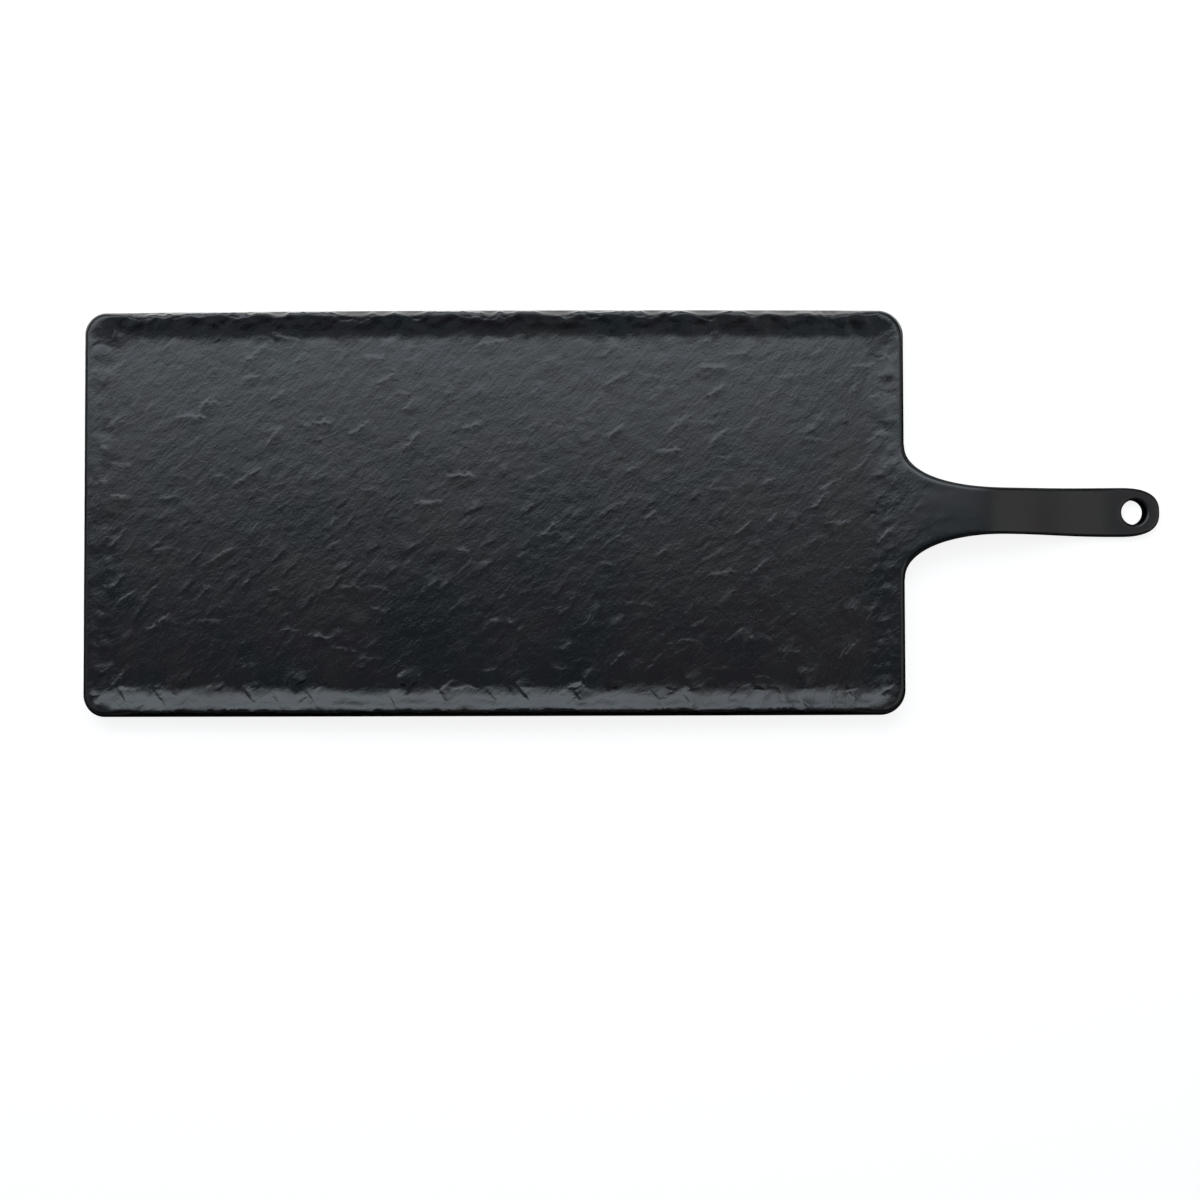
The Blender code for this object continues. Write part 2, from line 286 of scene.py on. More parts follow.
for face in tray.faces:
    if min(vert[ring_inset] for vert in face.verts) > FLAKE_MARGIN:
        if ledge_tree.find(face.calc_center_median())[2] < LEDGE_REACH:
            fine_edges.update(dict.fromkeys(face.edges))
bmesh.ops.subdivide_edges(tray, edges=list(fine_edges), cuts=LEDGE_CUTS, use_grid_fill=True)
rim_edges = []
for edge in tray.edges:
    middle = (edge.verts[0].co + edge.verts[1].co) / 2
    run = abs(edge.verts[0].co.x - edge.verts[1].co.x)
    far_side = middle.y > 0
    on_rim = HALF_WIDTH - abs(middle.y) < (SHELL_ZONE if far_side else CHIP_ZONE)
    between_corners = abs(middle.x) < HALF_LENGTH - FAR_CORNER
    if on_rim and between_corners and not edge.is_boundary:
        if run > FLOOR_STEP / 2 or far_side and edge.calc_length() > SHELL_STEP:
            rim_edges.append(edge)
bmesh.ops.subdivide_edges(tray, edges=rim_edges, cuts=1, use_grid_fill=True)

# Plan of the handle
# The handle grows out of the board's end through a wide flared neck and ends in a round tip with a
# hanging hole, whose upper mouth leans towards the tip. Its skin is drawn out of the grid's end row
# by row, then closed round the hole.
NECK_WIDTH = 0.0675
NECK_LENGTH = 0.050
NECK_FULLNESS = 2.25
WAIST_WIDTH = 0.0225
GRIP_WIDTH = 0.0242
TIP_ROUND = 0.0195
TIP_FULLNESS = 2.6
TIP_CHORD = 0.1015
HOLE_RADIUS = 0.0061
HOLE_FROM_TIP = 0.014
HOLE_EASE = 0.0016
HOLE_UNDER_EASE = 0.0005
HOLE_LEAN = 0.0013
HOLE_LEAN_REACH = 0.0060
NECK_STEPS = 34
GRIP_STEPS = 40
TIP_STRAIGHT_STEPS = 6
TIP_STEPS = 34
TIP_RINGS = 8
EASE_RINGS = 6
NECK_RELAXING = 60
EDGE_LOOPS = 3


def handle_half_width(out):
    """Half the handle's width before the tip's rounding."""
    grip_share = (out - NECK_LENGTH) / (HANDLE_REACH - TIP_ROUND - NECK_LENGTH)
    width = WAIST_WIDTH + (GRIP_WIDTH - WAIST_WIDTH) * ease(grip_share)
    left = min(max(1 - out / NECK_LENGTH, 0), 1)
    flare = 1 - (1 - left**NECK_FULLNESS) ** (1 / NECK_FULLNESS)
    return width / 2 + (neck_half - WAIST_WIDTH / 2) * flare


def only(kind, parts):
    """Those of an operator's results that are of one kind."""
    return [part for part in parts if isinstance(part, kind)]


def drawn_out(bm, edges):
    """Extrude a row of edges and give back the new row with its vertices."""
    made = bmesh.ops.extrude_edge_only(bm, edges=edges)["geom"]
    return only(bmesh.types.BMEdge, made), only(bmesh.types.BMVert, made)


def at_neck(vert):
    """Whether a vertex lies on the board's end where the handle begins."""
    return vert.co.x > HALF_LENGTH - SAME_POINT and abs(vert.co.y) < NECK_WIDTH / 2


row = [edge for edge in tray.edges if edge.is_boundary and all(map(at_neck, edge.verts))]
root_verts = {vert for edge in row for vert in edge.verts}
neck_half = max(vert.co.y for vert in root_verts)
stations = []
for step in range(1, NECK_STEPS + 1):
    angle = math.pi / 2 * step / NECK_STEPS
    stations.append(NECK_LENGTH * (1 - math.cos(angle) ** (2 / NECK_FULLNESS)))
for step in range(1, GRIP_STEPS + 1):
    stations.append(NECK_LENGTH + (TIP_CHORD - NECK_LENGTH) * step / GRIP_STEPS)
half_before = neck_half
for out in stations:
    row, row_verts = drawn_out(tray, row)
    half = handle_half_width(out)
    for vert in row_verts:
        vert.co.x = HALF_LENGTH + out
        vert.co.y *= half / half_before
    half_before = half

tip_start = HANDLE_REACH - TIP_ROUND
tip_plan = []
for step in range(1, TIP_STRAIGHT_STEPS + 1):
    out = TIP_CHORD + (tip_start - TIP_CHORD) * step / TIP_STRAIGHT_STEPS
    tip_plan.append((out, handle_half_width(out)))
for step in range(1, TIP_STEPS):
    angle = math.pi / 2 * step / TIP_STEPS
    out = tip_start + TIP_ROUND * math.sin(angle) ** (2 / TIP_FULLNESS)
    tip_plan.append((out, GRIP_WIDTH / 2 * math.cos(angle) ** (2 / TIP_FULLNESS)))
tip_plan += [(HANDLE_REACH, 0)] + [(out, -half) for out, half in reversed(tip_plan)]
tip_verts = [tray.verts.new((HALF_LENGTH + out, half, 0)) for out, half in tip_plan]
chord_ends = [max(row_verts, key=lambda v: v.co.y), min(row_verts, key=lambda v: v.co.y)]
chain = chord_ends[:1] + tip_verts + chord_ends[1:]
loop = row + [tray.edges.new(pair) for pair in zip(chain, chain[1:])]
hole_centre = Vector((HALF_LENGTH + HANDLE_REACH - HOLE_FROM_TIP, 0, 0))
for ring in range(TIP_RINGS + EASE_RINGS):
    loop, loop_verts = drawn_out(tray, loop)
    for vert in loop_verts:
        spoke = vert.co - hole_centre
        if ring < TIP_RINGS:
            target = HOLE_RADIUS + HOLE_EASE
            length = spoke.length + (target - spoke.length) / (TIP_RINGS - ring)
        else:
            angle = math.pi / 2 * (ring - TIP_RINGS + 1) / EASE_RINGS
            length = HOLE_RADIUS + HOLE_EASE * (1 - math.sin(angle))
        vert.co = hole_centre + spoke.normalized() * length


def open_edges(at_hole):
    """Open edges of the skin: those of the hanging hole, or those of the outline."""
    near = HOLE_RADIUS + HOLE_EASE
    edges = [edge for edge in tray.edges if edge.is_boundary]
    return [edge for edge in edges if ((edge.verts[0].co - hole_centre).length < near) == at_hole]


def faces_of_handle():
    """Faces that lie outside the board."""
    end = HALF_LENGTH - SAME_POINT
    return [face for face in tray.faces if min(vert.co.x for vert in face.verts) > end]


outline_verts = {vert for edge in open_edges(at_hole=False) for vert in edge.verts}
held_verts = outline_verts | root_verts
handle_verts = dict.fromkeys(vert for face in faces_of_handle() for vert in face.verts)
neck_verts = [vert for vert in handle_verts if vert.co.x < HALF_LENGTH + NECK_LENGTH]
neck_inside = [vert for vert in neck_verts if vert not in held_verts]
for pass_number in range(NECK_RELAXING):
    bmesh.ops.smooth_vert(tray, verts=neck_inside, factor=0.5, use_axis_x=True, use_axis_y=True)
handle_edges = dict.fromkeys(edge for face in faces_of_handle() for edge in face.edges)
across_edge = [
    edge
    for edge in handle_edges
    if (edge.verts[0] in outline_verts) != (edge.verts[1] in outline_verts)
]
bmesh.ops.subdivide_edges(tray, edges=across_edge, cuts=EDGE_LOOPS, use_grid_fill=True)
handle_faces = faces_of_handle()
hole_edges = open_edges(at_hole=True)
outline_edges = open_edges(at_hole=False)
outline_verts = {vert for edge in outline_edges for vert in edge.verts}

# Heights of the upper skin
# A shallow well runs down from a narrow crest on all four sides. At the neck the slope carries on
# up over the handle's arch without a crest, and the handle then dips to its level tip.
EDGE_LIFT = 0.0044
RIM_HEIGHT = 0.010
CHAMFER_DROP = 0.0038
WELL_DEPTH = 0.003
FLOOR_TOP = RIM_HEIGHT - WELL_DEPTH
END_SLOPE = 0.0200
BOW = 0.0046
ARCH_OUT = 0.0385
ARCH_HEIGHT = 0.0145
TIP_LEVEL = 0.028
TIP_GAP = 0.0005
TURN_SOFT = 0.010
SOFT_STEPS = 6
ROOT_THICKNESS = 0.0076
ARCH_THICKNESS = 0.0062
TIP_THICKNESS = 0.0050
ROOT_RISE = 0.0005
NECK_EDGE = 0.003
HANDLE_EDGE = 0.0016
NECK_MIDDLE = 0.019
NECK_SIDE = 0.036
NECK_ZONE = 0.055
UNDER_FILLET = 0.004
OUTLINE_SAMPLES = 8


def bow(x):
    """The board is slightly arched along its length: its ends lie lower than its middle."""
    return BOW * (1 - (min(x, HALF_LENGTH) / HALF_LENGTH) ** 2)


def dip_share(out):
    """Share of the way from the handle's arch down to its level tip."""
    return (out - ARCH_OUT) / (HANDLE_REACH - TIP_LEVEL - ARCH_OUT)


def handle_course(out):
    """Course of the handle's middle: up to the arch, then down to the level tip."""
    root = RIM_HEIGHT + ROOT_RISE - ROOT_THICKNESS / 2
    tip = TIP_GAP + TIP_THICKNESS / 2 - EDGE_LIFT
    if out < ARCH_OUT:
        turn = math.pi / 2 * (out + CHAMFER_WIDTH) / (ARCH_OUT + CHAMFER_WIDTH)
        return root + (ARCH_HEIGHT - root) * math.sin(turn)
    return ARCH_HEIGHT + (tip - ARCH_HEIGHT) * ease(dip_share(out))


def handle_middle(out):
    """Height of the handle's middle above the board's lower edge, with its turns softened."""
    reach = min(out, TURN_SOFT)
    places = [out + reach * share / SOFT_STEPS for share in range(-SOFT_STEPS, SOFT_STEPS + 1)]
    return sum(handle_course(place) for place in places) / len(places)


def handle_thickness(out):
    """Thickness of the handle, which thins from its root to its tip."""
    if out < ARCH_OUT:
        return ROOT_THICKNESS + (ARCH_THICKNESS - ROOT_THICKNESS) * out / ARCH_OUT
    return ARCH_THICKNESS + (TIP_THICKNESS - ARCH_THICKNESS) * min(dip_share(out), 1)


def neck_top(out):
    """Height of the upper skin along the handle's middle line, from the floor to the tip."""
    if out >= 0:
        return handle_middle(out) + handle_thickness(out) / 2
    start = handle_middle(0) + ROOT_THICKNESS / 2
    gradient = (neck_top(SAME_POINT) - start) / SAME_POINT * END_SLOPE
    rise = start - FLOOR_TOP
    share = max(1 + out / END_SLOPE, 0)
    return FLOOR_TOP + share**2 * (3 * rise - gradient) + share**3 * (gradient - 2 * rise)


def edge_size(out):
    """Width and drop of the rounding along the handle's edges."""
    share = min(max(out, 0) / NECK_LENGTH, 1)
    return NECK_EDGE + (HANDLE_EDGE - NECK_EDGE) * share


def edge_drop(edge, width, drop):
    """How far a rounded edge has fallen at a distance from the outline."""
    if edge >= width:
        return 0
    return drop * (1 - math.sqrt(max(1 - (1 - edge / width) ** 2, 0)))


def hole_drop(x, y, hole_ease):
    """How far the eased rim of the hanging hole has fallen."""
    rim = math.hypot(x - hole_centre.x, y) - HOLE_RADIUS
    return edge_drop(rim, hole_ease, hole_ease)


def neck_share(y):
    """1 over the neck, fading to 0 at its shoulders."""
    return ease((NECK_SIDE - abs(y)) / (NECK_SIDE - NECK_MIDDLE))


near_outline = []
for edge in outline_edges:
    first, last = (vert.co.copy() for vert in edge.verts)
    if first.x > HALF_LENGTH - NECK_ZONE:
        shares = [sample / OUTLINE_SAMPLES for sample in range(OUTLINE_SAMPLES)]
        near_outline += [first.lerp(last, share) for share in shares]
outline_tree = tree_of(near_outline)
for vert in tray.verts:
    vert[to_outline] = vert[ring_inset]
    if vert in outline_verts:
        vert[to_outline] = 0
    elif vert.co.x > HALF_LENGTH - END_SLOPE and abs(vert.co.y) < NECK_ZONE:
        vert[to_outline] = outline_tree.find(vert.co)[2]

# Hewn rim
# The rim is moulded as if it had been struck off with a hammer: along the long sides its chamfer
# reaches in by uneven bites, and thin shells have come away from the far crest. The ends and the
# corners are only a little uneven. Values by side are for the near side, -1, and the far side, 1.
BITE_SPACING = 0.0080
BITE_HALVES = (0.0030, 0.0140)
BITE_WIDTHS = {-1: (0.0024, 0.0034), 1: (0.0012, 0.0034)}
BITE_LEASTS = {-1: 0.0023, 1: 0.0011}
NICK = 0.0005
NICK_SIZE = (0.0023, 1)
SHELL_NICK_SIZE = (0.0014, 0.0014)
SHELL_SPACING = 0.0085
SHELL_HALVES = (0.0030, 0.0085)
SHELL_WIDTHS = (0.0012, 0.0032)
SHELL_DEPTHS = (0.00016, 0.00032)
SHELL_SCARP = 0.0006
HEWN_REACH = 0.0072
HEWN_START = 0.2
END_UNEVEN = 0.0003
END_UNEVEN_SIZE = (0.006, 0.006)
CORNER_EASE = 0.030
CORNER_BLEND = 0.03
SLOPE_START = 0.0017
SLOPE_ENDS = {-1: 0.0152, 1: 0.0148}
CREST_SOFT = {-1: 0.34, 1: 0.10}
FLOOR_SOFT = {-1: 0.64, 1: 0.45}
END_SOFT = 0.75
SLOPE_WAVE = 0.0011
SLOPE_WAVE_SIZE = (0.009, 0.009)
SLOPE_RIPPLE = 0.0006
SLOPE_RIPPLE_SIZE = (0.0035, 0.0035)
SLOPE_WAVE_START = 0.008
CREST_WAVE = 0.00022
CREST_WAVE_SIZE = (0.005, 0.02)
CREST_WAVE_START = 0.001
CREST_WAVE_END = 0.006
bites = {-1: [], 1: []}
shells = []
for side in (-1, 1):
    for bite in range(round(2 * HALF_LENGTH / BITE_SPACING)):
        centre = slate_chance.uniform(-HALF_LENGTH, HALF_LENGTH)
        half = slate_chance.uniform(*BITE_HALVES)
        bites[side].append((centre, half, slate_chance.uniform(*BITE_WIDTHS[side])))
for shell in range(round(2 * HALF_LENGTH / SHELL_SPACING)):
    centre = slate_chance.uniform(-HALF_LENGTH, HALF_LENGTH)
    half = slate_chance.uniform(*SHELL_HALVES)
    width = slate_chance.uniform(*SHELL_WIDTHS)
    shells.append((centre, half, width, slate_chance.uniform(*SHELL_DEPTHS)))


def lumps(x, y, size, seed):
    """Smooth random lumps between -1 and 1, of a length along x and a width along y."""
    return noise.noise(Vector((x / size[0], y / size[1], seed)))


def slope_fall(share, crest_soft, floor_soft):
    """Fall of a straight slope with a tight round at its crest and a softer one at the floor."""
    share = min(max(share, 0), 1)
    full = 1 - (crest_soft + floor_soft) / 2
    if share < crest_soft:
        return share**2 / (2 * crest_soft) / full
    if share > 1 - floor_soft:
        return 1 - (1 - share) ** 2 / (2 * floor_soft) / full
    return (share - crest_soft / 2) / full


def side_fall(inset, side):
    """How far the slope of a long side has fallen at a distance from the edge."""
    share = (inset - SLOPE_START) / (SLOPE_ENDS[side] - SLOPE_START)
    return WELL_DEPTH * slope_fall(share, CREST_SOFT[side], FLOOR_SOFT[side])


def hewn_cut(x, side, edge):
    """How far the bites and shells have cut the rim down at a distance from its edge."""
    crest = BITE_LEASTS[side]
    for centre, half, width in bites[side]:
        crest = max(crest, width * (1 - min(abs(x - centre) / half, 1) ** 2))
    crest += NICK * lumps(x, side, NICK_SIZE, seed=10)
    cut = 0
    if side > 0:
        rough = crest + NICK * lumps(x, edge, SHELL_NICK_SIZE, seed=13)
        for centre, half, width, depth in shells:
            inside = rough + width * (1 - ((x - centre) / half) ** 2) - edge
            if abs(x - centre) < half and inside > 0:
                cut = max(cut, depth * min(inside / SHELL_SCARP, 1))
    if edge < crest:
        fall = side_fall(crest, side) - side_fall(edge, side)
        cut += fall + (CHAMFER_DROP - cut) * (1 - edge / crest)
    return cut


def upper_height(x, y, inset, edge):
    """Height of the upper skin above the board's lower edge, without its slate relief."""
    out = x - HALF_LENGTH
    side = 1 if y > 0 else -1
    long_side = HALF_WIDTH - abs(y) < HALF_LENGTH - abs(x)
    if out > -END_SLOPE and abs(y) < NECK_ZONE:
        inset = max(-out, 0)
    at_side = ease(0.5 + (HALF_LENGTH - abs(x) - HALF_WIDTH + abs(y)) / CORNER_BLEND)
    slope_end = END_SLOPE + (SLOPE_ENDS[side] - END_SLOPE) * at_side
    floor_soft = END_SOFT + (FLOOR_SOFT[side] - END_SOFT) * at_side
    crest_soft = CREST_SOFT[1] + (CREST_SOFT[side] - CREST_SOFT[1]) * at_side
    wave = SLOPE_WAVE * lumps(x, y, SLOPE_WAVE_SIZE, seed=6)
    wave += SLOPE_RIPPLE * lumps(x, y, SLOPE_RIPPLE_SIZE, seed=7)
    share = inset + wave * ease(inset / SLOPE_WAVE_START) - SLOPE_START
    share /= slope_end - SLOPE_START
    height = RIM_HEIGHT - WELL_DEPTH * slope_fall(share, crest_soft, floor_soft)
    if long_side:
        on_crest = ease(1.5 - inset / CREST_WAVE_END)
        wave = CREST_WAVE * lumps(x, y, CREST_WAVE_SIZE, seed=8)
        height += wave * ease(edge / CREST_WAVE_START) * on_crest
    width = CHAMFER_WIDTH + END_UNEVEN * lumps(x, y, END_UNEVEN_SIZE, seed=5)
    drop = CHAMFER_DROP
    sharp = 1
    if out > -END_SLOPE:
        height += (neck_top(out) - height) * neck_share(y)
        blend = ease((out + CHAMFER_WIDTH) / NECK_EDGE / 2)
        width += (edge_size(out) - width) * blend
        drop += (edge_size(out) - drop) * blend
        sharp = 1 - blend
    cut = edge_drop(edge, width, drop)
    hewn = sharp * ease((HALF_LENGTH - abs(x)) / CORNER_EASE - HEWN_START)
    if long_side and hewn > 0 and edge < HEWN_REACH:
        cut += (hewn_cut(x, side, edge) - cut) * hewn
    return height - cut - hole_drop(x, y, HOLE_EASE)


def under_height(x, y, edge):
    """Height of the handle's lower skin above the board's lower edge."""
    out = max(x - HALF_LENGTH, 0)
    fillet = UNDER_FILLET / 2 * max(1 - out / UNDER_FILLET, 0) ** 2
    low = handle_middle(out) - handle_thickness(out) / 2 - fillet
    return low + edge_drop(edge, edge_size(out), edge_size(out)) + hole_drop(x, y, HOLE_UNDER_EASE)


# Slate relief
# The riven face of the slate, moulded in: broad swells and slanting ripples all over, creases on
# the slopes, a shallow gutter at the foot of the near one, and the flakes. It fades out along the
# neck and at the edge of the rim.
SWELL = 0.00009
SWELL_SIZE = (0.030, 0.024)
DRIFT = 0.0022
DRIFT_SIZE = (0.016, 0.016)
RIPPLE = 0.000080
RIPPLE_SIZE = (0.0085, 0.0042)
FINE_RIPPLE = 0.000055
FINE_RIPPLE_SIZE = (0.0046, 0.0024)
CREASE_START = 0.003
CREASE_END = 0.017
CREASE_FADE = 0.004
END_CREASE = 0.00010
END_CREASE_SIZE = (0.011, 0.0042)
FAR_CREASE = 0.00026
FAR_CREASE_SIZE = (0.0050, 0.0090)
NEAR_CREASE = 0.00009
NEAR_CREASE_SIZE = (0.0060, 0.0060)
NEAR_SWELL = 0.00046
NEAR_SWELL_SIZE = (0.0160, 0.0120)
GUTTER_END = 0.0225
GUTTER_DEPTH = 0.00020
FLAKE_RANGE = 0.014
RELIEF_EDGE = 0.0008
RELIEF_RISE = 0.003
RELIEF_START = -0.004
RELIEF_END = 0.048
GRAIN_END = 0.022


def grain_lumps(x, y, size, seed):
    """Lumps that are drawn out along the grain."""
    turn = math.radians(GRAIN_TURN)
    along = x * math.cos(turn) + y * math.sin(turn)
    across = y * math.cos(turn) - x * math.sin(turn)
    return lumps(along, across, size, seed)


def relief_share(x, edge, end):
    """1 where the slate relief is full, fading at the rim's edge and along the neck."""
    along_neck = ease((HALF_LENGTH + end - x) / (end - RELIEF_START))
    return ease((edge - RELIEF_EDGE) / RELIEF_RISE) * along_neck


def relief(x, y, inset):
    """Height of the slate relief: swells, slanting ripples, creases, the gutter and the flakes."""
    drift = DRIFT * lumps(x, y, DRIFT_SIZE, seed=2)
    height = SWELL * lumps(x, y, SWELL_SIZE, seed=1)
    height += RIPPLE * grain_lumps(x, y + drift, RIPPLE_SIZE, seed=3)
    height += FINE_RIPPLE * grain_lumps(x, y + drift, FINE_RIPPLE_SIZE, seed=4)
    on_slope = ease(inset / CREASE_START) * ease((CREASE_END - inset) / CREASE_FADE)
    if on_slope > 0:
        if HALF_LENGTH - abs(x) < HALF_WIDTH - abs(y):
            height += on_slope * END_CREASE * lumps(x, y, END_CREASE_SIZE, seed=9)
        elif y > 0:
            height += on_slope * FAR_CREASE * lumps(x, y, FAR_CREASE_SIZE, seed=9)
        else:
            height += on_slope * NEAR_CREASE * lumps(x, y, NEAR_CREASE_SIZE, seed=9)
            height += on_slope * NEAR_SWELL * lumps(x, y, NEAR_SWELL_SIZE, seed=12)
    if y < 0:
        slope_end = SLOPE_ENDS[-1]
        foot = ease((GUTTER_END - inset) / (GUTTER_END - slope_end)) * ease(inset / slope_end)
        height -= GUTTER_DEPTH * foot * ease((HALF_LENGTH - abs(x)) / CORNER_EASE)
    for place, index, distance in flake_tree.find_range((x, y, 0), FLAKE_RANGE):
        height += flake_lift(flakes[index], x, y)
    return height


copied = bmesh.ops.duplicate(tray, geom=handle_faces)["geom"]
lower_verts = set(only(bmesh.types.BMVert, copied))
for vert in tray.verts:
    x, y, z = vert.co
    if vert in lower_verts:
        vert.co.z = under_height(x, y, vert[to_outline])
    else:
        vert.co.z = upper_height(x, y, vert[ring_inset], vert[to_outline])
        vert[slate] = relief_share(x, vert[to_outline], GRAIN_END)
        vert.co.z += relief_share(x, vert[to_outline], RELIEF_END) * relief(x, y, vert[ring_inset])
        if vert not in outline_verts:
            from_hole = (vert.co - hole_centre).xy.length - HOLE_RADIUS
            vert.co.x += HOLE_LEAN * ease(1 - from_hole / HOLE_LEAN_REACH)

# Outer wall, skirt and hollow underside
# Below the hewn edge the wall is smooth and slightly drafted. A rounded lower edge turns under into
# a narrow skirt, and the underside is hollow with four bosses that hold the rubber feet.
WALL_DRAFT = 0.0007
WALL_STEPS = 3
WALL_LEVEL = 0.0035
EDGE_ROUND = 0.0016
EDGE_STEPS = 4
SKIRT_WIDTH = 0.0055
HOLLOW_DRAFT = 0.0015
FLOOR_THICKNESS = 0.004
FLOOR_UNDER = FLOOR_TOP - FLOOR_THICKNESS
BOW_CUT_LINES = 14
WELD = SAME_POINT * 5
CUT_SNAP = SAME_POINT * 100
FOOT_FROM_END = 0.042
FOOT_FROM_SIDE = 0.035
FOOT_HEIGHT = 0.005
STEM_RADIUS = 0.003
STEM_LENGTH = 0.0036
CLEARANCE = 0.0003
BOSS_FACE = FOOT_HEIGHT + CLEARANCE
BOSS_WALL = 0.0035
BOSS_DRAFT = 0.0006
ROUND_SIDES = 48
SHARP_TURN = 50


def on_handle(point):
    """Whether a point of the outline belongs to the handle."""
    return point.x > HALF_LENGTH - SAME_POINT and abs(point.y) < neck_half + SAME_POINT


def wall_inset(height):
    """How far the drafted wall has drawn in at a height above the lower edge."""
    full = RIM_HEIGHT - CHAMFER_DROP
    return WALL_DRAFT * min(max(1 - height / full, 0), 1)


outline_set = set(outline_edges)
corner_low = under_height(HALF_LENGTH, neck_half, 0)
for vert in outline_verts | lower_verts:
    vert[plan] = vert.co
    vert[outward] = (1, 0, 0)
    vert[top_height] = vert.co.z
    vert[low_height] = under_height(vert.co.x, vert.co.y, 0)
    if not on_handle(vert.co):
        first, last = (edge.other_vert(vert).co for edge in vert.link_edges if edge in outline_set)
        side = Vector((last.y - first.y, first.x - last.x, 0)).normalized()
        centres = [face.calc_center_median() for face in vert.link_faces]
        inside = sum(centres, Vector()) / len(centres)
        vert[outward] = side if side.dot(vert.co - inside) > 0 else -side
        neck_corner = Vector((HALF_LENGTH, math.copysign(neck_half, vert.co.y), 0))
        near_neck = ease(1 - (vert.co - neck_corner).xy.length / NECK_MIDDLE)
        vert[low_height] = WALL_LEVEL + (corner_low - WALL_LEVEL) * near_neck
loop = outline_edges
for step in range(1, WALL_STEPS + 1):
    loop, loop_verts = drawn_out(tray, loop)
    for vert in loop_verts:
        height = vert[top_height] + (vert[low_height] - vert[top_height]) * step / WALL_STEPS
        inset = 0 if on_handle(vert[plan]) else wall_inset(height)
        vert.co = vert[plan] - vert[outward] * inset
        vert.co.z = height
loop, loop_verts = drawn_out(tray, hole_edges)
for vert in loop_verts:
    vert.co.x -= HOLE_LEAN
    vert.co.z = under_height(vert.co.x, vert.co.y, HOLE_FROM_TIP)
bmesh.ops.remove_doubles(tray, verts=tray.verts, dist=WELD)

skirt_inner = WALL_DRAFT + SKIRT_WIDTH
lower_profile = []
for step in range(EDGE_STEPS + 1):
    angle = math.pi / 2 * step / EDGE_STEPS
    inset = WALL_DRAFT + EDGE_ROUND * (1 - math.cos(angle))
    lower_profile.append((inset, EDGE_ROUND * (1 - math.sin(angle))))
lower_profile += [(skirt_inner, 0), (skirt_inner + HOLLOW_DRAFT, FLOOR_UNDER)]
loop = [edge for edge in tray.edges if edge.is_boundary]
for inset, height in lower_profile:
    loop, loop_verts = drawn_out(tray, loop)
    for vert in loop_verts:
        vert.co = vert[plan] - vert[outward] * inset
        vert.co.z = height

foot_places = [
    (sign_x * (HALF_LENGTH - FOOT_FROM_END), sign_y * (HALF_WIDTH - FOOT_FROM_SIDE))
    for sign_y in (-1, 1)
    for sign_x in (-1, 1)
]
stem_bore = STEM_RADIUS + CLEARANCE
boss_radius = stem_bore + BOSS_WALL
rim_of_hollow = list(loop)
for x, y in foot_places:
    circle = bmesh.ops.create_circle(tray, segments=ROUND_SIDES, radius=boss_radius + BOSS_DRAFT)
    bmesh.ops.translate(tray, verts=circle["verts"], vec=(x, y, FLOOR_UNDER))
    rim_of_hollow += dict.fromkeys(edge for vert in circle["verts"] for edge in vert.link_edges)
filled = bmesh.ops.triangle_fill(tray, edges=rim_of_hollow, use_beauty=True)["geom"]
ceiling = only(bmesh.types.BMFace, filled)
for line in range(RIM_LINES, columns - RIM_LINES + 1, BOW_CUT_LINES):
    share = 2 * line / columns - 1
    x = math.copysign(HALF_LENGTH - line_inset(share, columns, HALF_LENGTH), share)
    around = dict.fromkeys(ceiling)
    for face in ceiling:
        around.update(dict.fromkeys([*face.edges, *face.verts]))
    cut = bmesh.ops.bisect_plane(
        tray, geom=list(around), dist=CUT_SNAP, plane_co=(x, 0, 0), plane_no=(1, 0, 0)
    )["geom"]
    ceiling = only(bmesh.types.BMFace, cut)
for vert in tray.verts:
    vert.co.z += EDGE_LIFT + bow(vert.co.x)
boss_rims = [edge for edge in tray.edges if edge.is_boundary]
for x, y in foot_places:
    centre = Vector((x, y))
    loop = [edge for edge in boss_rims if (edge.verts[0].co.xy - centre).length < 2 * boss_radius]
    for radius, height in (
        (boss_radius, BOSS_FACE),
        (stem_bore, BOSS_FACE),
        (stem_bore, BOSS_FACE + STEM_LENGTH + CLEARANCE),
    ):
        loop, loop_verts = drawn_out(tray, loop)
        for vert in loop_verts:
            spoke = Vector((vert.co.x - x, vert.co.y - y, 0)).normalized() * radius
            vert.co = (x + spoke.x, y + spoke.y, height)
    bmesh.ops.contextual_create(tray, geom=loop)
bmesh.ops.translate(tray, verts=tray.verts, vec=(MIDDLE_X, 0, 0))
bmesh.ops.recalc_face_normals(tray, faces=tray.faces)


def placed(name, data):
    """Put a new object into the scene."""
    made = bpy.data.objects.new(name, data)
    bpy.context.scene.collection.objects.link(made)
    return made


def finished(bm, name):
    """Turn a bmesh into an object of the scene."""
    mesh = bpy.data.meshes.new(name)
    bm.to_mesh(mesh)
    bm.free()
    return placed(name, mesh)


melamine_tray = finished(tray, "melamine_tray")
for name in ("ring_inset", "to_outline", "top_height", "low_height", "plan", "outward"):
    melamine_tray.data.attributes.remove(melamine_tray.data.attributes[name])
melamine_tray.data.shade_smooth()
melamine_tray.data.set_sharp_from_angle(angle=math.radians(SHARP_TURN))


def srgb(code):
    """Linear colour of an sRGB hex code."""
    shares = [int(code[place:place + 2], 16) / 255 for place in (1, 3, 5)]
    linear = [
        share / 12.92 if share <= 0.04045 else ((share + 0.055) / 1.055) ** 2.4 for share in shares
    ]
    return linear + [1]


